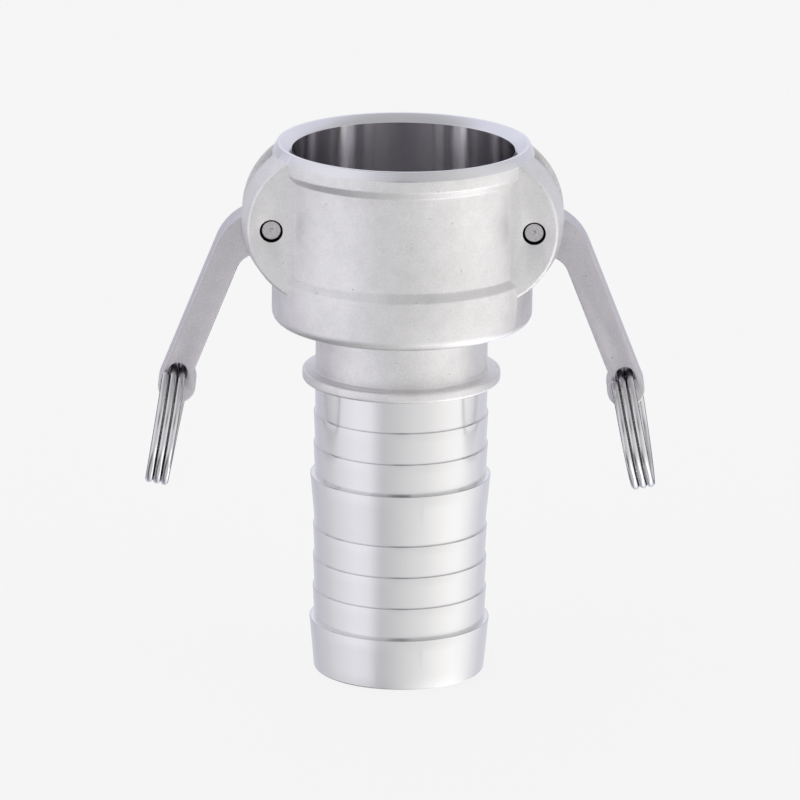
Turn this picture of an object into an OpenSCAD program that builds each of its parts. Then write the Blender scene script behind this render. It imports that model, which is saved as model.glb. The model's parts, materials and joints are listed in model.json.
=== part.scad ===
// Cam and groove coupler with a barbed hose shank, cast in stainless steel.
// +Z runs up the waterway to the mouth of the socket. The origin lies on the axis,
// at the shank's lower end. The two cam arms lie on -X (left) and +X (right), and
// their pins run along Y.

/* [Socket] */
// Diameter of the bore that guides the mating adapter
socket_d = 64; // [58:0.5:70]
// Height of the socket from the gasket seat to the mouth
socket_h = 47.9; // [46:0.1:54]
// Wall between the bore and the outside of the cup
socket_wall = 5.5; // [5:0.1:7]
// Depth of the cast waist between the cup and the rim
waist_depth = 1.7; // [0.8:0.1:2.2]
// Height of the cup from its underside to the foot of the waist
cup_h = 14.5; // [13:0.1:16]
// Corner radius at the cup's underside
cup_corner = 3.2; // [2:0.1:4]
// Thickness of the floor under the gasket
floor_t = 4.6; // [3.6:0.1:6]
// Height of the rim band from the waist to the mouth
rim_h = 5.9; // [5:0.1:7]
// Rise of the lead-in cone at the mouth
lead_in = 2.1; // [1.4:0.1:2.6]
// Height of the guiding land under the lead-in
mouth_land = 6.5; // [5:0.1:6.6]
// Height of the guiding land above the gasket
lower_land = 8; // [5:0.5:9]
// Depth of the relief between the two lands, where the cams work
relief = 0.4; // [0.35:0.05:0.6]
// Width of the flat ring on top of the rim
rim_flat = 0.8; // [0.4:0.1:1.2]
// Rise of the turned bevel outside the rim
rim_bevel = 2.6; // [1.6:0.1:3.2]
// Inset of the rim's top edge from the outside of the cup
rim_inset = 1.3; // [0.8:0.1:1.6]

/* [Gasket] */
// Thickness of the gasket
gasket_t = 6.35; // [5:0.05:7]
// Inner diameter of the gasket
gasket_bore_d = 50.8; // [49:0.1:54]
// Reach of the gasket into its groove, beyond the bore
gasket_grip = 1.4; // [1:0.1:1.8]
// Free space round the gasket in its groove
gasket_clear = 0.2; // [0.1:0.05:0.4]

/* [Neck and collar] */
// Wall of the neck round the waterway
neck_wall = 2.4; // [2:0.1:4]
// Height of the neck
neck_h = 14.4; // [12:0.1:18]
// Diameter of the collar that stops the hose
collar_d = 57.2; // [55:0.1:60]
// Thickness of the collar
collar_t = 3.1; // [2.4:0.1:4]

/* [Hose shank] */
// Wall between the waterway and the foot of the barbs
shank_wall = 2.35; // [1.8:0.05:3]
// Diameter over the sharp edge of a small barb
barb_d = 50.5; // [50:0.1:51.5]
// Diameter over the sharp edge of a large barb
large_barb_d = 52.3; // [51.6:0.1:54]
// Diameter at the foot of each barb
root_d = 49.5; // [48.6:0.1:49.8]
// Length of a small barb
barb_len = 9.35; // [8:0.05:11]
// Length of a large barb
large_barb_len = 15.2; // [13:0.1:17]
// Number of small barbs above the lowest large barb
lower_barbs = 3; // [2:1:4]
// Number of small barbs above the upper large barb
upper_barbs = 2; // [1:1:3]
// Length of the plain stretch under the collar
plain_len = 9.75; // [8:0.05:12]

/* [Ears] */
// Height of the pins above the gasket seat
pin_h = 25.8; // [25:0.1:28]
// Distance of the pin axis outside the bore
pin_inset = 5.4; // [5.2:0.1:6]
// Diameter of the pins
pin_d = 5.6; // [5:0.1:6]
// Thickness of each ear
ear_t = 12.1; // [10:0.1:14]
// Radius of the ears' round outline, at the arm's slot
ear_r = 24.5; // [23:0.1:26]
// Reach of the ears beyond the pin axis
ear_reach = 8.9; // [8:0.1:10]
// Height of the round outline's centre above the pin axis
ear_rise = 0.5; // [0:0.1:1]
// Inset of the ears' outline from the slot to the outer face, as the mould needs
ear_draft = 2.1; // [1:0.1:2.6]
// Radius of the ears' cast outer edge
ear_edge = 1.1; // [0.6:0.1:1.6]
// Depth of the sunk ring round each pin end
sink_depth = 2.4; // [1.6:0.1:3]
// Distance of the pin ends below the ear faces
pin_sunk = 1.2; // [0.6:0.1:1.5]

/* [Cam arms] */
// Thickness of the arms along the pins
arm_t = 12; // [10:0.1:13]
// Free space between an arm and each ear
side_clear = 0.3; // [0.2:0.05:0.5]
// Radial running clearance of the arms on their pins
pin_clear = 0.08; // [0.05:0.01:0.1]
// Radius of the cam nose
cam_r = 7; // [6.6:0.1:7.4]
// Offset of the cam nose's centre from the pin
cam_throw = 2.6; // [2.2:0.1:3]
// Angle of the straps to the upright, closed
strap_angle = 21.8; // [18:0.1:26]
// Width of the straps
strap_w = 8.4; // [8:0.1:9.2]
// Distance from the pin axis to the inner edge line of the strap
strap_in = 4; // [3.6:0.1:4.6]
// Distance along the strap from the pin to the middle of the end lug
strap_len = 56; // [50:0.1:62]
// Slope of the neck's upper edge
neck_slope = 28.4; // [26:0.1:32]
// Slope of the neck's lower edge
under_slope = 32; // [28:0.1:36]
// Distance from the pin axis to the neck's lower edge
under_drop = 5.5; // [5:0.1:6]
// Radius of the bend on the outer side
knee_r = 17; // [14:0.5:19]
// Radius of the bend on the inner side
crook_r = 6.5; // [5:0.1:8]
// Radius of the end lug
lug_r = 5.4; // [5.2:0.1:6.2]
// Distance from the lug's middle back to the ring hole
hole_back = 3.9; // [3.2:0.1:4.6]

/* [Pull rings] */
// Outer diameter of the rings
ring_od = 36.7; // [34:0.1:40]
// Diameter of the ring wire
wire_d = 2.1; // [1.8:0.1:2.2]
// Free space between neighbouring turns
turn_gap = 0.2; // [0.1:0.05:0.3]
// Angle of the rings to the upright, at rest
ring_tilt = 10.4; // [4:0.1:14]

/* [Hidden] */
$fn = 96;

// Small spare length by which a cut runs past the face that it opens
past = 1;
// Height by which the bore's cutter stands above the mouth, to clear the tops of the ears
over_ears = 5;
// Edge break of machined corners and of the pins' ends
edge = 0.4;
pin_edge = 0.2;
// Free space in the window under the turning cam nose, and over the bend of the open arm
window_clear = 0.6;
bend_clear = 0.9;
// Radial clearance of the pins in the ears
ear_fit = 0.05;
// Direction of the cam nose from the pin, from outward round over the top
cam_angle = 206;
// Retraction of the arm's boss behind the bore with the arm open
boss_back = 0.1;
// Blend radii of the arm: cam nose to neck and strap to lug
nose_blend = 3;
lug_blend = 4;
// Free width of the ring hole beside the two turns that pass it
hole_room = 1;
// Width of the gap round each pin end
sink_gap = 0.5;
// Depth and width of the centre mark in the pin ends
mark_depth = 0.4;
mark_d = 1.4;
// Angle that each end of the ring wire keeps from the ring's top
wire_start = 25;
// Largest angle between the points of an arc, in the body's outline and in the arms' outline
arc_step = 15;
fine_step = 5;
// Facets of the ring wire, round its section and per turn
wire_sides = 10;
turn_steps = 36;
// Full passes of the wire round the ring
ring_passes = 3;

// Radii from the waterway's axis
socket_r = socket_d / 2;
cup_r = socket_r + socket_wall;
waist_r = cup_r - waist_depth;
groove_r = socket_r + gasket_grip + gasket_clear;
water_r = root_d / 2 - shank_wall;
neck_r = water_r + neck_wall;
pin_x = socket_r + pin_inset;

// Heights from the shank's lower end
barb_lengths = concat(
    [large_barb_len],
    [for (i = [1 : lower_barbs]) barb_len],
    [large_barb_len],
    [for (i = [1 : upper_barbs]) barb_len]);
barb_count = len(barb_lengths);
collar_z = total(barb_lengths, barb_count) + plain_len;
neck_z = collar_z + collar_t;
cup_z = neck_z + neck_h;
seat_z = cup_z + floor_t;
mouth_z = seat_z + socket_h;
pin_z = seat_z + pin_h;

// Arm sizes measured from the pin
slot_w = arm_t + 2 * side_clear;
ear_face = slot_w / 2 + ear_t;
boss_r = pin_inset - boss_back;
strap_out = strap_in + strap_w;
strap_mid = (strap_in + strap_out) / 2;
strap_dir = [sin(strap_angle), -cos(strap_angle)];
strap_side = [cos(strap_angle), sin(strap_angle)];
neck_side = [sin(neck_slope), cos(neck_slope)];
under_dir = [-cos(under_slope), sin(under_slope)];
under_side = [-sin(under_slope), -cos(under_slope)];
cam_c = cam_throw * [cos(cam_angle), sin(cam_angle)];
lug_c = strap_len * strap_dir + (strap_out - lug_r) * strap_side;
hole_c = (strap_len - hole_back) * strap_dir + strap_mid * strap_side;

// Ring sizes: the hole passes two turns side by side, and the coil hangs on the hole's centre
turn_pitch = wire_d + turn_gap;
coil_r = (ring_od - wire_d) / 2;
hole_d = 2 * turn_pitch + hole_room;
coil_sag = coil_r - sqrt(coil_r * coil_r - arm_t * arm_t / 4);

// Sum of the first n values of a list
function total(v, n) = n == 0 ? 0 : v[n - 1] + total(v, n - 1);

function unit(v) = v / norm(v);

// Where two lines cross, each given by its unit normal and its distance from the origin
function crossing(n1, d1, n2, d2) =
    let (k = n1[0] * n2[1] - n1[1] * n2[0])
    [(d1 * n2[1] - d2 * n1[1]) / k, (n1[0] * d2 - n2[0] * d1) / k];

// Points of a closed outline with rounded corners, from a list of [x, y, corner radius]
function rounded(p) =
    [for (i = [0 : len(p) - 1]) each corner(p[(i + len(p) - 1) % len(p)], p[i], p[(i + 1) % len(p)])];

function corner(a, p, b, step = arc_step) =
    p[2] == 0 ? [[p[0], p[1]]] :
    let (
        c0 = [p[0], p[1]],
        u = unit([a[0], a[1]] - c0),
        v = unit([b[0], b[1]] - c0),
        half = acos(u * v) / 2,
        centre = c0 + unit(u + v) * p[2] / sin(half),
        from = c0 + u * p[2] / tan(half) - centre,
        to = c0 + v * p[2] / tan(half) - centre,
        a0 = angle(from),
        sweep = (angle(to) - a0 + 540) % 360 - 180,
        a1 = a0 + sweep)
    arc(centre, p[2], a0, a1, step);

// Points of an arc about c, from angle a0 to angle a1
function arc(c, r, a0, a1, step = arc_step) =
    let (n = ceil(abs(a1 - a0) / step))
    [for (i = [0 : n]) c + r * [cos(a0 + (a1 - a0) * i / n), sin(a0 + (a1 - a0) * i / n)]];

function angle(v) = atan2(v[1], v[0]);

// Centre of an arc of radius r that blends the line through p along u, on the side of its
// normal n, into the circle of radius big_r about c
function blend_centre(p, u, n, c, big_r, r) =
    let (q = p + r * n - c)
    p + r * n - u * (q * u + sqrt(pow(q * u, 2) - q * q + pow(big_r + r, 2)));

// Outer outline of the turned and cast body, from the shank's lower end up
function body_outline() = rounded(concat(
    [[0, 0, 0], [root_d / 2, 0, edge]],
    [for (i = [0 : barb_count - 1])
        let (
            top = total(barb_lengths, i + 1),
            r = (barb_lengths[i] == large_barb_len ? large_barb_d : barb_d) / 2)
        each [[r, top, 0], [root_d / 2, top, 0]]],
    [
        [(root_d + barb_d) / 4, collar_z, 0],
        [collar_d / 2, collar_z, 2 * edge],
        [collar_d / 2, neck_z, 2 * edge],
        [neck_r, neck_z, edge],
        [neck_r, cup_z, 2],
        [cup_r, cup_z, cup_corner],
        [cup_r, cup_z + cup_h, 1],
        [waist_r, cup_z + cup_h + 1.3 * waist_depth, 1],
        [waist_r, mouth_z - rim_h - 1.3 * waist_depth, 1],
        [cup_r, mouth_z - rim_h, 1],
        [cup_r, mouth_z - rim_bevel, 0.6],
        [cup_r - rim_inset, mouth_z, edge],
        [0, mouth_z, 0],
    ]));

// Outline of everything that is bored out of the body
function bore_outline() = [
    [0, -past],
    [water_r + edge, -past],
    [water_r + edge, 0],
    [water_r, edge],
    [water_r, seat_z],
    [groove_r, seat_z],
    [groove_r, seat_z + gasket_t + gasket_clear],
    [socket_r, seat_z + gasket_t + gasket_clear],
    [socket_r, seat_z + gasket_t + gasket_clear + lower_land],
    [socket_r + relief, seat_z + gasket_t + gasket_clear + lower_land],
    [socket_r + relief, mouth_z - lead_in - mouth_land],
    [socket_r, mouth_z - lead_in - mouth_land],
    [socket_r, mouth_z - lead_in],
    [socket_r + edge, mouth_z - lead_in + edge],
    [cup_r - rim_inset - rim_flat, mouth_z],
    [cup_r - rim_inset - rim_flat, mouth_z + over_ears],
    [0, mouth_z + over_ears],
];

// Section of one round ear plate: radius against distance from the arm's middle plane
module ear_section() {
    corner = [ear_r - ear_draft, ear_face];
    to_slot = unit([ear_draft, -ear_t]);
    half = acos(-to_slot[0]) / 2;
    foot = ear_edge / tan(half);
    centre = corner + unit(to_slot - [1, 0]) * ear_edge / sin(half);
    difference() {
        polygon([[0, slot_w / 2], [ear_r, slot_w / 2], corner, [0, ear_face]]);
        difference() {
            polygon([corner + foot * to_slot, centre, corner - [foot, 0], corner + [past, past]]);
            translate(centre) circle(ear_edge);
        }
    }
}

// Round, drafted plates of one pair of ears, about an axis along Y
module ear_pair() {
    for (s = [-1, 1])
        rotate([90 * s, 0, 0])
            rotate_extrude() ear_section();
}

// Window through the socket wall, in which the cam nose turns
module cam_window() {
    low = cam_r + cam_throw + window_clear;
    high = strap_out + bend_clear;
    translate([socket_r - past - cam_r, -slot_w / 2, pin_z - low])
        cube([socket_wall + past + cam_r + past, slot_w, low + high]);
}

// Bore for one pin through both ears, with the sunk ring at each end
module pin_bore() {
    translate([pin_x, ear_face + past, pin_z])
        rotate([90, 0, 0])
            cylinder(h = 2 * (ear_face + past), r = pin_d / 2 + ear_fit);
    for (s = [-1, 1])
        translate([pin_x, s * (ear_face + past), pin_z])
            rotate([90 * s, 0, 0])
                cylinder(h = sink_depth + past, r = pin_d / 2 + sink_gap);
}

module coupler_body() color("gainsboro")
    difference() {
        union() {
            rotate_extrude() polygon(body_outline());
            for (s = [-1, 1])
                translate([s * (pin_x + ear_reach - ear_r), 0, pin_z + ear_rise]) ear_pair();
        }
        rotate_extrude() polygon(bore_outline());
        for (s = [0, 1])
            mirror([s, 0, 0]) {
                cam_window();
                pin_bore();
            }
    }

module gasket() color("dimgray")
    translate([0, 0, seat_z])
        rotate_extrude()
            polygon(rounded([
                [gasket_bore_d / 2, 0, edge],
                [socket_r + gasket_grip, 0, edge],
                [socket_r + gasket_grip, gasket_t, edge],
                [gasket_bore_d / 2, gasket_t, edge],
            ]));

// Side view of the arm, with the pin at the origin and the strap going down and out
function arm_outline() =
    let (
        knee = crossing(neck_side, boss_r, strap_side, strap_out),
        crook = crossing(strap_side, strap_in, under_side, under_drop),
        toe_c = blend_centre(strap_in * strap_side, strap_dir, -strap_side, lug_c, lug_r, lug_blend),
        nose_c = blend_centre(crook, under_dir, under_side, cam_c, cam_r, nose_blend),
        lug_to = angle(toe_c - lug_c),
        nose_from = angle(nose_c - cam_c),
        cross_x = (pow(cam_throw, 2) + pow(boss_r, 2) - pow(cam_r, 2)) / (2 * cam_throw),
        boss_from = cam_angle - acos(cross_x / boss_r),
        boss_top = boss_r * [cos(boss_from), sin(boss_from)])
    concat(
        arc([0, 0], boss_r, boss_from, 90 - neck_slope, fine_step),
        rounded_corner(neck_side * boss_r, knee, lug_c + lug_r * strap_side, knee_r),
        arc(lug_c, lug_r, strap_angle, lug_to - (lug_to > strap_angle ? 360 : 0), fine_step),
        arc(toe_c, lug_blend, lug_to + (lug_to < 0 ? 180 : -180), strap_angle, fine_step),
        rounded_corner(strap_in * strap_side + strap_len * strap_dir, crook, crook + under_dir, crook_r),
        arc(nose_c, nose_blend, 90 - under_slope, nose_from + 180, fine_step),
        arc(cam_c, cam_r, nose_from, angle(boss_top - cam_c) - 360, fine_step));

// Points round the corner p between a and b
function rounded_corner(a, p, b, r) = corner(a, [p[0], p[1], r], b, fine_step);

module cam_arm()
    translate([pin_x, arm_t / 2, pin_z])
        rotate([90, 0, 0])
            linear_extrude(arm_t)
                difference() {
                    polygon(arm_outline());
                    circle(pin_d / 2 + pin_clear);
                    translate(hole_c) circle(d = hole_d);
                }

module right_cam_arm() color("silver") cam_arm();

module left_cam_arm() color("silver") mirror([1, 0, 0]) cam_arm();

// Pin with broken edges and a centre mark in each end
module pivot_pin(side) {
    half = ear_face - pin_sunk;
    translate([side * pin_x, 0, pin_z])
        rotate([90, 0, 0])
            rotate_extrude()
                polygon([
                    [0, mark_depth - half],
                    [mark_d / 2, -half],
                    [pin_d / 2 - pin_edge, -half],
                    [pin_d / 2, pin_edge - half],
                    [pin_d / 2, half - pin_edge],
                    [pin_d / 2 - pin_edge, half],
                    [mark_d / 2, half],
                    [0, half - mark_depth],
                ]);
}

module left_pivot_pin() color("darkgray") pivot_pin(-1);

module right_pivot_pin() color("darkgray") pivot_pin(1);

// Angle along the wire, from the ring's top over the front and down
function wire_angle(i, n) = wire_start + (360 * ring_passes - 2 * wire_start) * i / n;

// One section of the wire: a ring of points round the coil's line
function wire_section(t) = [
    for (k = [0 : wire_sides - 1])
        let (
            phi = 360 * k / wire_sides,
            r = coil_r + wire_d / 2 * cos(phi))
        [turn_pitch * (t / 360 - ring_passes / 2) + wire_d / 2 * sin(phi), -r * sin(t), r * cos(t)]
];

// Coil of round wire about the X axis
module wire_coil() {
    n = round(turn_steps * (ring_passes - wire_start / 180));
    polyhedron(
        points = [for (i = [0 : n]) each wire_section(wire_angle(i, n))],
        faces = concat(
            [[for (k = [0 : wire_sides - 1]) k]],
            [for (i = [0 : n - 1], k = [0 : wire_sides - 1])
                let (
                    a = i * wire_sides + k,
                    b = i * wire_sides + (k + 1) % wire_sides)
                each [[a, a + wire_sides, b], [b, a + wire_sides, b + wire_sides]]],
            [[for (k = [wire_sides - 1 : -1 : 0]) n * wire_sides + k]]));
}

// Both rings are wound the same way, so only their place and tilt are mirrored
module pull_ring(side)
    translate([side * (pin_x + hole_c[0]), 0, pin_z + hole_c[1]])
        rotate([0, -side * ring_tilt, 0])
            translate([0, 0, coil_sag / 2 - coil_r])
                wire_coil();

module left_pull_ring() color("whitesmoke") pull_ring(-1);

module right_pull_ring() color("whitesmoke") pull_ring(1);

coupler_body();
gasket();
left_cam_arm();
right_cam_arm();
left_pivot_pin();
right_pivot_pin();
left_pull_ring();
right_pull_ring();
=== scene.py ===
"""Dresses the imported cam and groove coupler: castings, turned faces, pull rings, seal, stage and light.

All lengths are in metres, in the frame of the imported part: +Z up the waterway to the socket's mouth and
+X towards the right arm, with the pins along Y.
"""
import sys

import json
import logging
import math
from dataclasses import dataclass
from enum import Enum
from typing import Callable

import bmesh
import bpy
from mathutils import Matrix, Vector


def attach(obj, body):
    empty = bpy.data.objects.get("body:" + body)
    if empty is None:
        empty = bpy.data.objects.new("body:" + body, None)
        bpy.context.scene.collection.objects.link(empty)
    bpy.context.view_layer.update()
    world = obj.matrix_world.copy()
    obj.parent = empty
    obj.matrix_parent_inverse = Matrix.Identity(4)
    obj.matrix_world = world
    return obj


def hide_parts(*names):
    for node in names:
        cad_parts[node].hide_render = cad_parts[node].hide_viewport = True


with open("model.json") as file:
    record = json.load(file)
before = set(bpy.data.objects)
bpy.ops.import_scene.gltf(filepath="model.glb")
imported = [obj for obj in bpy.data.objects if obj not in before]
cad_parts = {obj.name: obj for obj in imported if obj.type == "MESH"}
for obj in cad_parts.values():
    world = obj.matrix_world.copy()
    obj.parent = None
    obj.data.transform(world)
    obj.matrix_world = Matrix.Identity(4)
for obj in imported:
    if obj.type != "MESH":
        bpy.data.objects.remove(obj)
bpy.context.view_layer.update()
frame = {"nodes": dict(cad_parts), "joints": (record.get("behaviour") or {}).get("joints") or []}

LOG = logging.getLogger("coupler")
MM = 0.001


class Side(Enum):
    """The two sides of the coupler, by the sign of X."""

    LEFT = -1
    RIGHT = 1

    @property
    def word(self) -> str:
        """Return the side's name as the nodes and bodies spell it."""
        return self.name.lower()


# Finishes


class Shader:
    """One material's node tree, with short calls for the nodes that the finishes share."""

    def __init__(self, name: str) -> None:
        """Start a material with an empty tree.

        Args:
            name: Name of the material.
        """
        self.material = bpy.data.materials.new(name)
        self.material.use_nodes = True
        self.start(self.material.node_tree, "ShaderNodeOutputMaterial")

    def start(self, tree: bpy.types.NodeTree, kind: str) -> None:
        """Empty a tree and give it an output node of a kind."""
        self.tree = tree
        self.tree.nodes.clear()
        self.output = self.add(kind)

    @classmethod
    def of_tree(cls, tree: bpy.types.NodeTree, kind: str) -> "Shader":
        """Return the short calls for a tree that is no material's, such as the world's.

        Args:
            tree: The node tree.
            kind: Blender's name of its output node.

        Returns:
            The shader over that tree.
        """
        shader = cls.__new__(cls)
        shader.material = None
        shader.start(tree, kind)
        return shader

    def add(self, kind: str, **settings: object) -> bpy.types.Node:
        """Add a node and set its properties.

        Args:
            kind: Blender's name of the node type.
            **settings: Properties of the node, by name.

        Returns:
            The new node.
        """
        node = self.tree.nodes.new(kind)
        for key, value in settings.items():
            setattr(node, key, value)
        return node

    def link(self, source: bpy.types.NodeSocket, target: bpy.types.NodeSocket) -> None:
        """Join two sockets."""
        self.tree.links.new(source, target)

    def principled(self, color: tuple[float, float, float], metallic: float,
                   roughness: float) -> bpy.types.Node:
        """Add a Principled shader and join it to the output.

        Args:
            color: Base colour, linear.
            metallic: Share of metal, 0 to 1.
            roughness: Roughness, 0 to 1.

        Returns:
            The shader node.
        """
        node = self.add("ShaderNodeBsdfPrincipled")
        node.inputs["Base Color"].default_value = (*color, 1.0)
        node.inputs["Metallic"].default_value = metallic
        node.inputs["Roughness"].default_value = roughness
        self.link(node.outputs["BSDF"], self.output.inputs["Surface"])
        return node

    def place(self) -> bpy.types.NodeSocket:
        """Return the socket of the piece's own coordinates."""
        return self.add("ShaderNodeTexCoord").outputs["Object"]

    def math(self, kind: str, *values: object) -> bpy.types.NodeSocket:
        """Add a Math node.

        Args:
            kind: Blender's name of the operation.
            *values: Sockets or numbers to work on.

        Returns:
            The socket of the result.
        """
        node = self.add("ShaderNodeMath", operation=kind)
        for socket, value in zip(node.inputs, values):
            if isinstance(value, bpy.types.NodeSocket):
                self.link(value, socket)
            else:
                socket.default_value = value
        return node.outputs["Value"]

    def noise(self, size: float, stretch: tuple[float, float, float] = (1.0, 1.0, 1.0),
              detail: float = 3.0) -> bpy.types.NodeSocket:
        """Add a noise pattern on the piece's own coordinates.

        Args:
            size: Size of the pattern's cells.
            stretch: Factors on the cells' frequency along X, Y and Z.
            detail: Octaves of finer pattern.

        Returns:
            The socket of the pattern's value.
        """
        mapping = self.add("ShaderNodeMapping")
        mapping.inputs["Scale"].default_value = stretch
        noise = self.add("ShaderNodeTexNoise")
        noise.inputs["Scale"].default_value = 1.0 / size
        noise.inputs["Detail"].default_value = detail
        self.link(self.place(), mapping.inputs["Vector"])
        self.link(mapping.outputs["Vector"], noise.inputs["Vector"])
        return noise.outputs["Fac"]

    def round_the_axis(self) -> bpy.types.NodeSocket:
        """Return the direction round the Z axis, in which a turning tool runs."""
        parts = self.add("ShaderNodeSeparateXYZ")
        self.link(self.place(), parts.inputs["Vector"])
        joined = self.add("ShaderNodeCombineXYZ")
        self.link(self.math("MULTIPLY", parts.outputs["Y"], -1.0), joined.inputs["X"])
        self.link(parts.outputs["X"], joined.inputs["Y"])
        return joined.outputs["Vector"]

    def spread(self, value: bpy.types.NodeSocket, low: float, high: float,
               ends: tuple[float, float] = (0.3, 0.7)) -> bpy.types.NodeSocket:
        """Map a pattern's usual range to the range from low to high.

        Args:
            value: Socket of the pattern.
            low: Result at the pattern's low end.
            high: Result at its high end.
            ends: Values of the pattern that count as its ends.

        Returns:
            The socket of the result.
        """
        node = self.add("ShaderNodeMapRange")
        node.inputs["From Min"].default_value = ends[0]
        node.inputs["From Max"].default_value = ends[1]
        node.inputs["To Min"].default_value = low
        node.inputs["To Max"].default_value = high
        self.link(value, node.inputs["Value"])
        return node.outputs["Result"]

    def tint(self, share: bpy.types.NodeSocket, dark: tuple[float, float, float],
             light: tuple[float, float, float] | bpy.types.NodeSocket) -> bpy.types.NodeSocket:
        """Blend two colours.

        Args:
            share: Socket of the second colour's share, 0 to 1.
            dark: First colour.
            light: Second colour, or the socket that gives it.

        Returns:
            The socket of the colour.
        """
        node = self.add("ShaderNodeMix", data_type="RGBA")
        sockets = {socket.identifier: socket for socket in node.inputs}
        self.link(share, sockets["Factor_Float"])
        sockets["A_Color"].default_value = (*dark, 1.0)
        if isinstance(light, bpy.types.NodeSocket):
            self.link(light, sockets["B_Color"])
        else:
            sockets["B_Color"].default_value = (*light, 1.0)
        return next(socket for socket in node.outputs if socket.identifier == "Result_Color")

    def bump(self, heights: list[tuple[bpy.types.NodeSocket, float]], target: bpy.types.NodeSocket) -> None:
        """Stack bump patterns and join them to a shader's normal.

        Args:
            heights: Patterns, each with its height.
            target: Normal socket of the shader.
        """
        normal = None
        for value, height in heights:
            node = self.add("ShaderNodeBump")
            node.inputs["Distance"].default_value = height
            self.link(value, node.inputs["Height"])
            if normal is not None:
                self.link(normal, node.inputs["Normal"])
            normal = node.outputs["Normal"]
        self.link(normal, target)


@dataclass(frozen=True)
class CastSteel:
    """Investment-cast stainless steel, blasted to an even satin, with faint stains and a few dark specks."""

    name: str
    color: tuple[float, float, float] = (0.90, 0.89, 0.895)
    roughness: float = 0.5
    grain: float = 0.5 * MM
    grain_depth: float = 0.02 * MM
    grain_tone: float = 0.9
    swell: float = 5.0 * MM
    swell_depth: float = 0.05 * MM
    stain_tone: float = 0.93
    speck: float = 1.6 * MM
    speck_tone: float = 0.65
    speck_ends: tuple[float, float] = (0.225, 0.26)

    def toned(self, tone: float) -> tuple[float, float, float]:
        """Return the casting's colour at a part of its brightness."""
        red, green, blue = self.color
        return (red * tone, green * tone, blue * tone)

    def build(self) -> bpy.types.Material:
        """Return the casting's material."""
        shader = Shader(self.name)
        steel = shader.principled(self.color, 1.0, self.roughness)
        grain = shader.noise(self.grain, detail=4.0)
        stains = shader.tint(shader.spread(shader.noise(self.swell, detail=6.0), 0.0, 1.0),
                             self.toned(self.stain_tone), self.color)
        grained = shader.add("ShaderNodeMix", data_type="RGBA", blend_type="MULTIPLY")
        sockets = {socket.identifier: socket for socket in grained.inputs}
        sockets["Factor_Float"].default_value = 1.0
        shader.link(stains, sockets["A_Color"])
        shader.link(shader.tint(shader.spread(grain, 0.0, 1.0), (self.grain_tone,) * 3, (1.0, 1.0, 1.0)),
                    sockets["B_Color"])
        mottled = next(socket for socket in grained.outputs if socket.identifier == "Result_Color")
        clear = shader.spread(shader.noise(self.speck, detail=2.0), 0.0, 1.0, self.speck_ends)
        shader.link(shader.tint(clear, self.toned(self.speck_tone), mottled), steel.inputs["Base Color"])
        rough = shader.spread(shader.noise(3.0 * self.grain), self.roughness - 0.05, self.roughness + 0.05)
        shader.link(rough, steel.inputs["Roughness"])
        shader.bump([(shader.noise(self.swell), self.swell_depth), (grain, self.grain_depth)],
                    steel.inputs["Normal"])
        return shader.material


@dataclass(frozen=True)
class TurnedSteel:
    """Stainless steel turned on a lathe about the Z axis: fine rings draw each reflection out along Z."""

    name: str
    color: tuple[float, float, float] = (0.79, 0.785, 0.795)
    roughness: float = 0.25
    drawn_out: float = 0.9
    feed: float = 0.16 * MM
    groove_depth: float = 0.0003 * MM

    def build(self) -> bpy.types.Material:
        """Return the turned surface's material."""
        shader = Shader(self.name)
        steel = shader.principled(self.color, 1.0, self.roughness)
        steel.inputs["Anisotropic"].default_value = self.drawn_out
        steel.inputs["Anisotropic Rotation"].default_value = 0.25
        shader.link(shader.round_the_axis(), steel.inputs["Tangent"])
        rings = shader.noise(self.feed, stretch=(0.02, 0.02, 1.0), detail=2.0)
        rough = shader.spread(rings, self.roughness - 0.015, self.roughness + 0.015)
        shader.link(rough, steel.inputs["Roughness"])
        shader.bump([(rings, self.groove_depth)], steel.inputs["Normal"])
        return shader.material


@dataclass(frozen=True)
class SmoothSteel:
    """Drawn or ground stainless steel, bright or worn, with fine specks where it is worn."""

    name: str
    color: tuple[float, float, float] = (0.72, 0.72, 0.73)
    roughness: float = 0.16
    worn_tone: float = 1.0
    wear: float = 0.35 * MM

    def build(self) -> bpy.types.Material:
        """Return the steel's material."""
        shader = Shader(self.name)
        steel = shader.principled(self.color, 1.0, self.roughness)
        if self.worn_tone < 1.0:
            red, green, blue = self.color
            worn = (red * self.worn_tone, green * self.worn_tone, blue * self.worn_tone)
            share = shader.spread(shader.noise(self.wear, detail=4.0), 0.0, 1.0)
            shader.link(shader.tint(share, worn, self.color), steel.inputs["Base Color"])
        return shader.material


@dataclass(frozen=True)
class SealRubber:
    """Black nitrile of the gasket."""

    name: str
    color: tuple[float, float, float] = (0.018, 0.018, 0.019)
    roughness: float = 0.55
    grain: float = 0.6 * MM

    def build(self) -> bpy.types.Material:
        """Return the rubber's material."""
        shader = Shader(self.name)
        rubber = shader.principled(self.color, 0.0, self.roughness)
        shader.bump([(shader.noise(self.grain), 0.01 * MM)], rubber.inputs["Normal"])
        return shader.material


# Shaping by operators


def only(piece: bpy.types.Object) -> bpy.types.Object:
    """Select one object alone and make it active.

    Args:
        piece: The object.

    Returns:
        The same object.
    """
    if bpy.context.object and bpy.context.object.mode != "OBJECT":
        bpy.ops.object.mode_set(mode="OBJECT")
    bpy.ops.object.select_all(action="DESELECT")
    piece.select_set(True)
    bpy.context.view_layer.objects.active = piece
    return piece


def apply_modifiers(piece: bpy.types.Object) -> None:
    """Apply all of an object's modifiers in their order."""
    only(piece)
    for modifier in list(piece.modifiers):
        bpy.ops.object.modifier_apply(modifier=modifier.name)


def settle(piece: bpy.types.Object) -> None:
    """Put an object's place, turn and size into its mesh."""
    only(piece)
    bpy.ops.object.transform_apply(location=True, rotation=True, scale=True)


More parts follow.
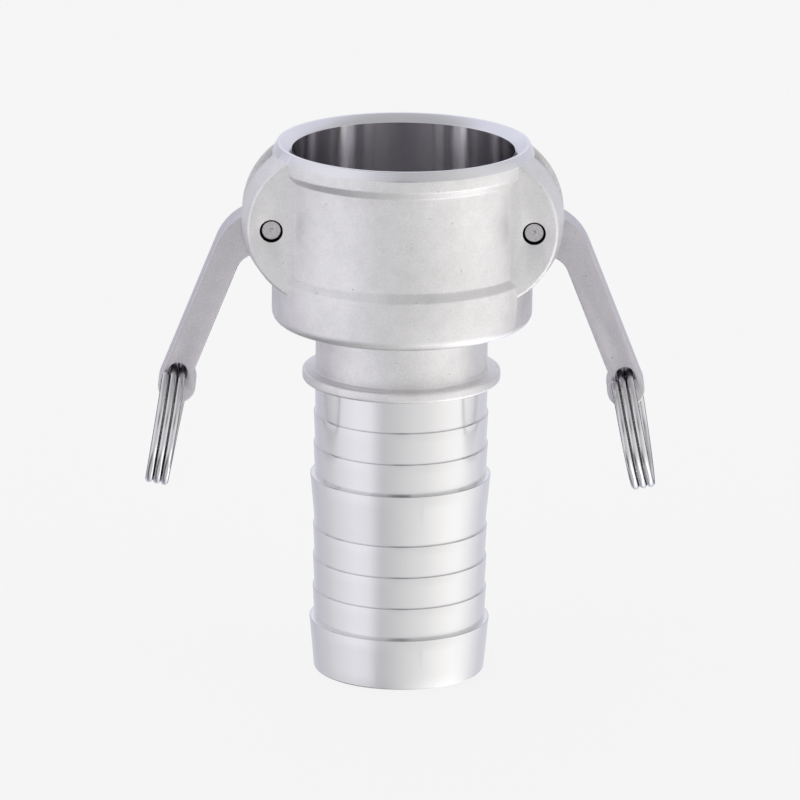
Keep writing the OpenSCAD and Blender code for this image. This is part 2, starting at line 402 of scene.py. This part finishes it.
def copy_of_node(node: str, name: str) -> bpy.types.Object:
    """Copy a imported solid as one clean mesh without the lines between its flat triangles.

    Args:
        node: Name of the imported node.
        name: Name of the copy.

    Returns:
        The copy, at the origin.
    """
    source = frame["nodes"][node]
    piece = bpy.data.objects.new(name, source.data.copy())
    bpy.context.scene.collection.objects.link(piece)
    only(piece)
    bpy.ops.object.mode_set(mode="EDIT")
    bpy.ops.mesh.select_all(action="SELECT")
    bpy.ops.mesh.remove_doubles(threshold=0.001 * MM)
    bpy.ops.mesh.dissolve_limited(angle_limit=math.radians(0.3))
    bpy.ops.object.mode_set(mode="OBJECT")
    bpy.ops.mesh.customdata_custom_splitnormals_clear()
    piece.data.materials.clear()
    return piece


def break_edges(piece: bpy.types.Object, width: float, steps: int,
                choose: Callable[[Vector, Vector, float], bool]) -> None:
    """Round the edges that a test picks.

    Args:
        piece: The mesh to round.
        width: Width of the rounding.
        steps: Faces across it.
        choose: Tells from an edge's two ends and from its turn in degrees, negative in an inner corner,
            whether it is rounded.
    """
    only(piece)
    bpy.ops.object.mode_set(mode="EDIT")
    bpy.ops.mesh.select_mode(type="EDGE")
    bpy.ops.mesh.select_all(action="DESELECT")
    net = bmesh.from_edit_mesh(piece.data)
    for edge in net.edges:
        if len(edge.link_faces) == 2:
            first, second = (corner.co for corner in edge.verts)
            edge.select_set(choose(first, second, math.degrees(edge.calc_face_angle_signed(0.0))))
    bmesh.update_edit_mesh(piece.data)
    bpy.ops.mesh.bevel(offset=width, segments=steps, affect="EDGES", clamp_overlap=True, miter_outer="ARC")
    bpy.ops.object.mode_set(mode="OBJECT")


def smooth(piece: bpy.types.Object, angle: float) -> None:
    """Shade the faces smooth across edges that turn by less than an angle, in degrees."""
    only(piece)
    bpy.ops.object.shade_smooth_by_angle(angle=math.radians(angle), keep_sharp_edges=False)


def dress(piece: bpy.types.Object, materials: list[bpy.types.Material],
          choose: Callable[[Vector, Vector], int]) -> None:
    """Give each face one of several materials.

    Args:
        piece: The mesh.
        materials: Its materials.
        choose: Gives the material's number from a face's middle and normal.
    """
    piece.data.materials.clear()
    for material in materials:
        piece.data.materials.append(material)
    for face in piece.data.polygons:
        face.material_index = choose(face.center, face.normal)


def dress_node(node: str, material: bpy.types.Material) -> None:
    """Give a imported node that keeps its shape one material."""
    piece = frame["nodes"][node]
    piece.data.materials.clear()
    piece.data.materials.append(material)
    LOG.info("%s: dressed", node)


def stand_for(piece: bpy.types.Object, node: str, body: str) -> None:
    """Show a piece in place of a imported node.

    Args:
        piece: The finished piece.
        node: Node that it stands for.
        body: Body that it moves with.
    """
    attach(piece, body)
    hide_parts(node)
    piece.data.calc_loop_triangles()
    LOG.info("%s: %d triangles, for %s", piece.name, len(piece.data.loop_triangles), node)


# Sub-assemblies


@dataclass
class Coupler:
    """The one-piece body: cast bell, ears, neck and collar, with the faces turned on it."""

    rim_foot: float = 154.3 * MM
    bevel_foot: float = 37.6 * MM
    bore: float = 36.3 * MM
    land_top: float = 154.9 * MM
    shank_top: float = 86.7 * MM
    bore_of_shank: float = 24.6 * MM
    cup_foot: float = 104.6 * MM
    ear_slot: float = 6.3 * MM
    ear_face: float = 18.4 * MM
    pin_place: tuple[float, float] = (37.4 * MM, 134.8 * MM)
    sunk_ring: float = 3.3 * MM
    sunk_depth: float = 2.4 * MM
    waist: float = 35.8 * MM
    cup: float = 37.5 * MM
    fillet: float = 0.6 * MM
    edge_width: float = 0.3 * MM
    barb_edge: float = 0.22 * MM
    rim_top: float = 156.9 * MM
    rim_edge: float = 0.18 * MM
    foot_edge: float = 1.0 * MM
    corner_turn: float = -10.0
    slot_turn: float = 35.0
    barb_turn: float = 45.0
    rim_turn: float = 20.0
    smooth_angle: float = 28.0
    inward_share: float = 0.3
    step_slope: float = 0.2
    near: float = 0.1 * MM

    def from_pin(self, place: Vector) -> float:
        """Return a point's distance from the axis of the nearer pin."""
        return math.hypot(abs(place.x) - self.pin_place[0], place.z - self.pin_place[1])

    def at_ear_foot(self, first: Vector, second: Vector, turn: float) -> bool:
        """Tell whether an edge is the inner corner where an ear's flat face runs into the bell.

        Args:
            first: One end of the edge.
            second: Its other end.
            turn: Turn between its faces, in degrees.

        Returns:
            True for an edge of that corner.
        """
        return turn < self.corner_turn and all(
            abs(abs(end.y) - self.ear_face) < self.near
            and self.waist - self.near < math.hypot(end.x, end.y) < self.cup + self.near
            for end in (first, second))

    def at_slot_or_pin(self, first: Vector, second: Vector, turn: float) -> bool:
        """Tell whether an edge is a sharp outer corner of an arm's slot, a window or a sunk ring.

        Args:
            first: One end of the edge.
            second: Its other end.
            turn: Turn between its faces, in degrees.

        Returns:
            True for such an edge.
        """
        return turn > self.slot_turn and all(
            end.z > self.cup_foot
            and (abs(abs(end.y) - self.ear_slot) < self.near
                 or self.from_pin(end) < self.sunk_ring + self.near)
            for end in (first, second))

    def at_barb(self, first: Vector, second: Vector, turn: float) -> bool:
        """Tell whether an edge is the sharp edge of a barb.

        Args:
            first: One end of the edge.
            second: Its other end.
            turn: Turn between its faces, in degrees.

        Returns:
            True for such an edge.
        """
        return turn > self.barb_turn and all(
            self.foot_edge < end.z < self.shank_top and math.hypot(end.x, end.y) > self.bore_of_shank
            for end in (first, second))

    def at_rim(self, first: Vector, second: Vector, turn: float) -> bool:
        """Tell whether an edge bounds the flat ring on top of the rim.

        Args:
            first: One end of the edge.
            second: Its other end.
            turn: Turn between its faces, in degrees.

        Returns:
            True for such an edge.
        """
        return turn > self.rim_turn and all(end.z > self.rim_top - self.near for end in (first, second))

    def finish_of(self, middle: Vector, normal: Vector) -> int:
        """Choose the finish of a face of the body.

        Args:
            middle: Middle of the face.
            normal: Its normal.

        Returns:
            0 for a cast face, 1 for the turned mouth, 2 for the hose shank, 3 for the painted shade in the
            gap round a pin, 4 for the barbs' flat steps, darkened as painted shade, and 5 for the bore.
        """
        radius = math.hypot(middle.x, middle.y)
        inward = normal.x * middle.x + normal.y * middle.y < -self.inward_share * radius
        sunk = self.ear_face - self.sunk_depth - self.near < abs(middle.y) < self.ear_face - 2 * self.near
        # The sunk ring round each pin gets a near-black finish: painted shade in the recess.
        if sunk and self.from_pin(middle) < self.sunk_ring and middle.z > self.cup_foot:
            return 3
        if middle.z < self.shank_top:
            # The barbs' steps take a darker finish whose colour is painted shade under each barb.
            return 4 if abs(normal.z) > self.step_slope and radius > self.bore_of_shank else 2
        if radius < self.bore and inward and middle.z < self.land_top:
            return 5
        if middle.z > self.rim_foot and radius < self.bevel_foot:
            return 1
        return 0

    def build(self, finishes: list[bpy.types.Material]) -> None:
        """Copy the body's solid, round its corners and dress it.

        Args:
            finishes: Finishes of the cast faces, the mouth, the hose shank, the painted shade in the gaps
                round the pins, the barbs' steps with their painted shade and the bore.
        """
        piece = copy_of_node("coupler_body", "body_casting")
        break_edges(piece, self.fillet, 4, self.at_ear_foot)
        break_edges(piece, self.edge_width, 2, self.at_slot_or_pin)
        break_edges(piece, self.barb_edge, 3, self.at_barb)
        break_edges(piece, self.rim_edge, 3, self.at_rim)
        smooth(piece, self.smooth_angle)
        dress(piece, finishes, self.finish_of)
        stand_for(piece, "coupler_body", "coupler")


@dataclass
class CamArm:
    """One cast cam arm with its bare face and softened edges."""

    side: Side
    edge_width: float = 0.45 * MM
    hole_edge: float = 0.15 * MM
    hole: float = 3.0 * MM
    hole_place: tuple[float, float] = (64.362 * MM, 89.471 * MM)
    edge_turn: float = 45.0
    smooth_angle: float = 35.0

    def in_hole(self, place: Vector) -> bool:
        """Tell whether a point is on the mouth of the ring's hole."""
        return math.hypot(abs(place.x) - self.hole_place[0], place.z - self.hole_place[1]) < self.hole

    def at_outline(self, first: Vector, second: Vector, turn: float) -> bool:
        """Tell whether an edge is a sharp outer corner of the arm, but not of the ring's hole.

        Args:
            first: One end of the edge.
            second: Its other end.
            turn: Turn between its faces, in degrees.

        Returns:
            True for such an edge.
        """
        return turn > self.edge_turn and not self.in_hole(first)

    def at_hole(self, first: Vector, second: Vector, turn: float) -> bool:
        """Tell whether an edge is on a mouth of the ring's hole.

        Args:
            first: One end of the edge.
            second: Its other end.
            turn: Turn between its faces, in degrees.

        Returns:
            True for such an edge.
        """
        return turn > self.edge_turn and self.in_hole(first)

    def build(self, cast: bpy.types.Material) -> None:
        """Copy the arm's solid, round its edges and dress it.

        Args:
            cast: Finish of the arm.
        """
        node = f"{self.side.word}_cam_arm"
        piece = copy_of_node(node, f"{self.side.word}_arm_casting")
        break_edges(piece, self.edge_width, 3, self.at_outline)
        break_edges(piece, self.hole_edge, 2, self.at_hole)
        smooth(piece, self.smooth_angle)
        piece.data.materials.append(cast)
        stand_for(piece, node, f"{self.side.word}_arm")


@dataclass
class PullRing:
    """One split ring: round wire wound three times round, with both ends cut square."""

    side: Side
    hole: Vector
    outer_diameter: float = 36.7 * MM
    wire: float = 2.2 * MM
    pitch: float = 2.26 * MM
    turns: int = 3
    gap_angle: float = 25.0
    arm_depth: float = 12.0 * MM
    tilt: float = 10.4
    sides: int = 24
    steps_per_turn: int = 160
    end_edge: float = 0.15 * MM
    end_turn: float = 60.0
    smooth_angle: float = 50.0
    flank: float = 0.86

    def build(self, finishes: list[bpy.types.Material]) -> None:
        """Wind the ring by the Screw modifier and hang it in the arm's hole.

        Args:
            finishes: Finishes of the wire and of its flanks between the turns, whose near-black colour is
                painted shade.
        """
        radius = (self.outer_diameter - self.wire) / 2
        sag = radius - math.sqrt(radius ** 2 - self.arm_depth ** 2 / 4)
        sweep = 360.0 * self.turns - 2 * self.gap_angle
        start = self.pitch * (self.gap_angle / 360.0 - self.turns / 2)
        bpy.ops.object.select_all(action="DESELECT")
        bpy.ops.mesh.primitive_circle_add(vertices=self.sides, radius=self.wire / 2, fill_type="NOTHING",
                                          rotation=(math.pi / 2, 0.0, 0.0), location=(start, 0.0, radius))
        piece = bpy.context.object
        piece.name = f"{self.side.word}_wound_ring"
        settle(piece)
        bpy.ops.object.mode_set(mode="EDIT")
        bpy.ops.mesh.select_all(action="SELECT")
        bpy.ops.transform.rotate(value=-math.radians(self.gap_angle), orient_axis="X",
                                 center_override=(0.0, 0.0, 0.0))
        bpy.ops.object.mode_set(mode="OBJECT")
        self.check_start(piece, radius)
        screw = piece.modifiers.new("winding", "SCREW")
        screw.axis = "X"
        screw.angle = math.radians(sweep)
        screw.screw_offset = self.pitch * sweep / 360.0
        screw.steps = round(self.steps_per_turn * sweep / 360.0)
        screw.render_steps = screw.steps
        screw.use_merge_vertices = False
        apply_modifiers(piece)
        self.cap_ends(piece)
        piece.matrix_world = (
            Matrix.Translation(self.hole)
            @ Matrix.Rotation(-self.side.value * math.radians(self.tilt), 4, "Y")
            @ Matrix.Translation((0.0, 0.0, sag / 2 - radius))
        )
        settle(piece)
        smooth(piece, self.smooth_angle)
        dress(piece, finishes, self.finish_of)
        stand_for(piece, f"{self.side.word}_pull_ring", f"{self.side.word}_ring")

    def at_end(self, first: Vector, second: Vector, turn: float) -> bool:
        """Tell whether an edge is the rim of a cut end of the wire, from the turn between its faces."""
        return turn > self.end_turn

    def finish_of(self, middle: Vector, normal: Vector) -> int:
        """Choose 1 for the wire's flanks, which face the next turn and carry the painted shade between the
        turns, and 0 for the rest of the wire.
        """
        tilt = self.side.value * math.radians(self.tilt)
        return int(abs(normal.x * math.cos(tilt) + normal.z * math.sin(tilt)) > self.flank)

    def check_start(self, piece: bpy.types.Object, radius: float) -> None:
        """Turn the wire's first section towards the front if the operator turned it the other way."""
        middle = sum((v.co for v in piece.data.vertices), Vector()) / len(piece.data.vertices)
        wanted = -radius * math.sin(math.radians(self.gap_angle))
        if abs(middle.y - wanted) > self.wire / 4:
            piece.data.transform(Matrix.Rotation(math.radians(2 * self.gap_angle), 4, "X"))

    def cap_ends(self, piece: bpy.types.Object) -> None:
        """Close both cut ends of the wire and make the faces point outwards."""
        only(piece)
        bpy.ops.object.mode_set(mode="EDIT")
        bpy.ops.mesh.select_all(action="SELECT")
        bpy.ops.mesh.fill_holes(sides=0)
        bpy.ops.mesh.select_all(action="SELECT")
        bpy.ops.mesh.normals_make_consistent(inside=False)
        bpy.ops.object.mode_set(mode="OBJECT")
        break_edges(piece, self.end_edge, 2, self.at_end)


# Stage and light


@dataclass
class Stage:
    """Pale floor, soft light from all round and the camera."""

    backdrop: float = 0.923
    floor_size: float = 40.0
    floor_albedo: float = 0.2
    floor_light: float = 0.70
    bare_albedo: float = 0.8
    focal_length: float = 315.05
    distance: float = 2.02364
    depression: float = 15.88
    roll: float = 0.5485
    target: Vector = Vector((-0.324 * MM, 0.0, 80.078 * MM))
    backdrop_in_metal: float = 0.1
    cold: tuple[float, float, float] = (0.96, 0.965, 1.08)
    cold_beyond: float = 112.0
    cool: tuple[float, float, float] = (0.99, 0.985, 1.035)
    warm: tuple[float, float, float] = (1.005, 1.0, 0.98)
    warm_from: float = 60.0
    walls: tuple[tuple[float, float], ...] = (
        (-180.0, 0.76), (-140.0, 0.64), (-110.0, 0.74), (-99.0, 0.84), (-62.0, 1.06), (-42.0, 1.03),
        (-34.0, 0.86), (-24.0, 0.68), (-10.0, 0.74), (4.0, 0.81), (15.0, 0.84), (33.0, 0.89), (53.0, 1.03),
        (70.0, 1.13), (87.0, 1.18), (101.0, 1.08), (117.0, 0.94), (137.0, 0.76), (180.0, 0.76),
    )
    upper: tuple[tuple[float, float], ...] = (
        (-180.0, 1.0), (-150.0, 0.88), (-103.0, 0.89), (-85.0, 0.95), (-65.0, 0.97), (-45.0, 0.92),
        (-23.0, 0.70), (0.0, 0.58), (23.0, 0.60), (45.0, 0.68), (65.0, 0.78), (85.0, 0.82), (103.0, 0.74),
        (121.0, 0.64), (180.0, 1.0),
    )
    lower: tuple[tuple[float, float], ...] = (
        (-180.0, 0.50), (-146.0, 0.20), (-123.0, 0.12), (-90.0, 0.12), (-40.0, 0.20), (0.0, 0.70),
        (40.0, 1.60), (80.0, 2.20), (111.0, 2.30), (146.0, 1.90), (180.0, 0.75),
    )
    nadir: float = 0.75
    nadir_to_lower: tuple[float, float] = (-75.0, -55.0)
    zenith: float = 0.52
    lower_to_walls: tuple[float, float] = (-50.0, -29.0)
    walls_to_upper: tuple[float, float] = (2.0, 26.0)
    upper_to_zenith: tuple[float, float] = (45.0, 75.0)
    port_height: float = 16.0
    port_width: tuple[float, float] = (10.0, 17.0)
    port_level: float = 0.2
    top_level: float = 2.5

    def add_floor(self) -> None:
        """Lay a pale floor that shows the backdrop's tone and keeps a faint shadow."""
        bpy.ops.object.select_all(action="DESELECT")
        bpy.ops.mesh.primitive_plane_add(size=self.floor_size, location=(0.0, 0.0, 0.0))
        floor = bpy.context.object
        floor.name = "floor"
        shader = Shader("pale_floor")
        diffuse = shader.add("ShaderNodeBsdfDiffuse")
        diffuse.inputs["Color"].default_value = (self.floor_albedo,) * 3 + (1.0,)
        glow = shader.add("ShaderNodeEmission")
        glow.inputs["Strength"].default_value = self.backdrop - self.floor_albedo * self.floor_light
        seen = shader.add("ShaderNodeAddShader")
        shader.link(diffuse.outputs["BSDF"], seen.inputs[0])
        shader.link(glow.outputs["Emission"], seen.inputs[1])
        bare = shader.add("ShaderNodeBsdfDiffuse")
        bare.inputs["Color"].default_value = (self.bare_albedo,) * 3 + (1.0,)
        clear = shader.add("ShaderNodeBsdfTransparent")
        rays = shader.add("ShaderNodeLightPath")
        for_camera = shader.add("ShaderNodeMixShader")
        shader.link(rays.outputs["Is Camera Ray"], for_camera.inputs["Fac"])
        shader.link(bare.outputs["BSDF"], for_camera.inputs[1])
        shader.link(seen.outputs["Shader"], for_camera.inputs[2])
        for_gloss = shader.add("ShaderNodeMixShader")
        shader.link(rays.outputs["Is Glossy Ray"], for_gloss.inputs["Fac"])
        shader.link(for_camera.outputs["Shader"], for_gloss.inputs[1])
        shader.link(clear.outputs["BSDF"], for_gloss.inputs[2])
        shader.link(for_gloss.outputs["Shader"], shader.output.inputs["Surface"])
        floor.data.materials.append(shader.material)

    def panel(self, level: float) -> float:
        """Return the panels' part of the top level at which metal mirrors a level."""
        share = self.backdrop_in_metal
        return max(level - share * self.backdrop, 0.0) / (1.0 - share) / self.top_level

    def ramp(self, shader: Shader, compass: bpy.types.NodeSocket,
             stops: tuple[tuple[float, float], ...]) -> bpy.types.NodeSocket:
        """Add a ramp of tinted light over the compass, cool on the left and warm on the right.

        Args:
            shader: The world's node tree.
            compass: Socket of the azimuth, from 0 at the back over the left, the front and the right to 1.
            stops: Azimuths from the camera's side in degrees, each with its level, up to the top level.

        Returns:
            The socket of the ramp's colour, as a part of the top level.
        """
        node = shader.add("ShaderNodeValToRGB")
        shader.link(compass, node.inputs["Fac"])
        elements = node.color_ramp.elements
        while len(elements) > 1:
            elements.remove(elements[-1])
        for number, (azimuth, level) in enumerate(stops):
            place = (azimuth + 180.0) / 360.0
            warmth = max(math.cos(math.radians(azimuth - self.warm_from)), 0.0)
            element = elements[0] if number == 0 else elements.new(place)
            element.position = place
            panel = self.panel(level)
            base = self.cold if abs(azimuth) > self.cold_beyond else self.cool
            element.color = (*(panel * (b + warmth * (w - b)) for b, w in zip(base, self.warm)), 1.0)
        return node.outputs["Color"]

    def blend(self, shader: Shader, share: bpy.types.NodeSocket, first: object,
              second: object) -> bpy.types.NodeSocket:
        """Blend two colours of the world's light.

        Args:
            shader: The world's node tree.
            share: Socket of the second colour's share.
            first: Socket or grey level of the first colour.
            second: Socket or grey level of the second colour.

        Returns:
            The socket of the blended colour.
        """
        node = shader.add("ShaderNodeMixRGB")
        shader.link(share, node.inputs["Fac"])
        for name, value in (("Color1", first), ("Color2", second)):
            if isinstance(value, bpy.types.NodeSocket):
                shader.link(value, node.inputs[name])
            else:
                node.inputs[name].default_value = (value, value, value, 1.0)
        return node.outputs["Color"]

    def step(self, shader: Shader, value: bpy.types.NodeSocket,
             ends: tuple[float, float]) -> bpy.types.NodeSocket:
        """Return a smooth step of a sine between the sines of two angles in degrees."""
        node = shader.add("ShaderNodeMapRange", interpolation_type="SMOOTHSTEP")
        node.inputs["From Min"].default_value = math.sin(math.radians(ends[0]))
        node.inputs["From Max"].default_value = math.sin(math.radians(ends[1]))
        shader.link(value, node.inputs["Value"])
        return node.outputs["Result"]

    def add_light(self) -> None:
        """Light the object from a world of soft panels, with the plain backdrop for the camera."""
        world = bpy.data.worlds.new("studio")
        bpy.context.scene.world = world
        world.use_nodes = True
        shader = Shader.of_tree(world.node_tree, "ShaderNodeOutputWorld")
        place = shader.add("ShaderNodeTexCoord").outputs["Generated"]
        parts = shader.add("ShaderNodeSeparateXYZ")
        shader.link(place, parts.inputs["Vector"])
        x, y, z = parts.outputs
        angle = shader.math("ARCTAN2", x, shader.math("MULTIPLY", y, -1.0))
        compass = shader.math("ADD", shader.math("DIVIDE", angle, 2 * math.pi), 0.5)
        light = self.blend(shader, self.step(shader, z, self.nadir_to_lower), self.panel(self.nadir),
                           self.ramp(shader, compass, self.lower))
        light = self.blend(shader, self.step(shader, z, self.lower_to_walls), light,
                           self.ramp(shader, compass, self.walls))
        light = self.blend(shader, self.step(shader, z, self.walls_to_upper), light,
                           self.ramp(shader, compass, self.upper))
        light = self.blend(shader, self.step(shader, z, self.upper_to_zenith), light, self.panel(self.zenith))
        port = shader.add("ShaderNodeVectorMath", operation="DOT_PRODUCT")
        shader.link(place, port.inputs[0])
        height = math.radians(self.port_height)
        port.inputs[1].default_value = (0.0, -math.cos(height), math.sin(height))
        inside = shader.add("ShaderNodeMapRange", interpolation_type="SMOOTHSTEP")
        inside.inputs["From Min"].default_value = math.cos(math.radians(self.port_width[1]))
        inside.inputs["From Max"].default_value = math.cos(math.radians(self.port_width[0]))
        shader.link(port.outputs["Value"], inside.inputs["Value"])
        light = self.blend(shader, inside.outputs["Result"], light, self.panel(self.port_level))
        panels = shader.add("ShaderNodeBackground")
        panels.inputs["Strength"].default_value = self.top_level
        shader.link(light, panels.inputs["Color"])
        plain = shader.add("ShaderNodeBackground")
        plain.inputs["Color"].default_value = (self.backdrop,) * 3 + (1.0,)
        rays = shader.add("ShaderNodeLightPath").outputs
        seen = shader.math("MAXIMUM", rays["Is Camera Ray"], rays["Is Transmission Ray"])
        mirrored = shader.math("MULTIPLY", rays["Is Glossy Ray"], self.backdrop_in_metal)
        pick = shader.add("ShaderNodeMixShader")
        shader.link(shader.math("MAXIMUM", seen, mirrored), pick.inputs["Fac"])
        shader.link(panels.outputs["Background"], pick.inputs[1])
        shader.link(plain.outputs["Background"], pick.inputs[2])
        shader.link(pick.outputs["Shader"], shader.output.inputs["Surface"])

    def add_camera(self) -> None:
        """Place the camera in front of the coupler, looking a little down."""
        down = math.radians(self.depression)
        roll = math.radians(self.roll)
        ahead = Vector((0.0, math.cos(down), -math.sin(down)))
        right = Vector((1.0, 0.0, 0.0))
        up = Vector((0.0, math.sin(down), math.cos(down)))
        x_axis = math.cos(roll) * right + math.sin(roll) * up
        y_axis = -math.sin(roll) * right + math.cos(roll) * up
        bpy.ops.object.camera_add()
        camera = bpy.context.object
        camera.name = "camera"
        camera.data.sensor_width = 36.0
        camera.data.lens = self.focal_length
        camera.data.clip_start = 0.1
        camera.data.clip_end = 100.0
        turn = Matrix((x_axis, y_axis, -ahead)).transposed()
        camera.matrix_world = Matrix.Translation(self.target - self.distance * ahead) @ turn.to_4x4()
        bpy.context.scene.camera = camera

    def build(self) -> None:
        """Set up the floor, the light, the camera and the plain view transform."""
        self.add_floor()
        self.add_light()
        self.add_camera()
        bpy.context.scene.view_settings.view_transform = "Standard"


def main() -> None:
    """Build the stage and dress every piece of the coupler."""
    logging.basicConfig(level=logging.INFO, format="%(name)s: %(message)s", stream=sys.stdout)
    Stage().build()
    cast = CastSteel("cast_steel").build()
    cast_arm = CastSteel("cast_arm_steel", color=(0.72, 0.695, 0.735), roughness=0.45,
                         grain_tone=0.84).build()
    bore = TurnedSteel("turned_bore", color=(0.85, 0.83, 0.86), roughness=0.15, drawn_out=1.0).build()
    mouth = TurnedSteel("turned_mouth", color=(0.76, 0.76, 0.80), roughness=0.17, drawn_out=0.4).build()
    shank = TurnedSteel("turned_shank", roughness=0.24, drawn_out=0.8).build()
    # The steps' darker colour paints the shade line under each barb; their low roughness is real.
    step = TurnedSteel("turned_step", color=(0.60, 0.59, 0.61), roughness=0.12, drawn_out=0.0).build()
    # Near-black steel paints the shade in the sunk rings round the pins.
    gap = SmoothSteel("gap_grime", color=(0.03, 0.028, 0.03), roughness=0.6).build()
    wire = SmoothSteel("ring_wire_steel", color=(0.66, 0.655, 0.67), roughness=0.2).build()
    # Near-black steel on the ring's flanks paints the shade between the turns of wire.
    flank = SmoothSteel("ring_wire_flank", color=(0.06, 0.055, 0.06), roughness=0.45).build()
    pin_steel = SmoothSteel("pin_steel", color=(0.76, 0.74, 0.76), roughness=0.4, worn_tone=0.55).build()
    rubber = SealRubber("seal_rubber").build()
    Coupler().build([cast, mouth, shank, gap, step, bore])
    hinges = {joint["name"]: Vector(joint["pos_m"]) for joint in frame["joints"]}
    for side in Side:
        CamArm(side).build(cast_arm)
        PullRing(side, hinges[f"{side.word}_ring_swing"]).build([wire, flank])
        dress_node(f"{side.word}_pivot_pin", pin_steel)
    dress_node("gasket", rubber)


if __name__ == "__main__":
    main()
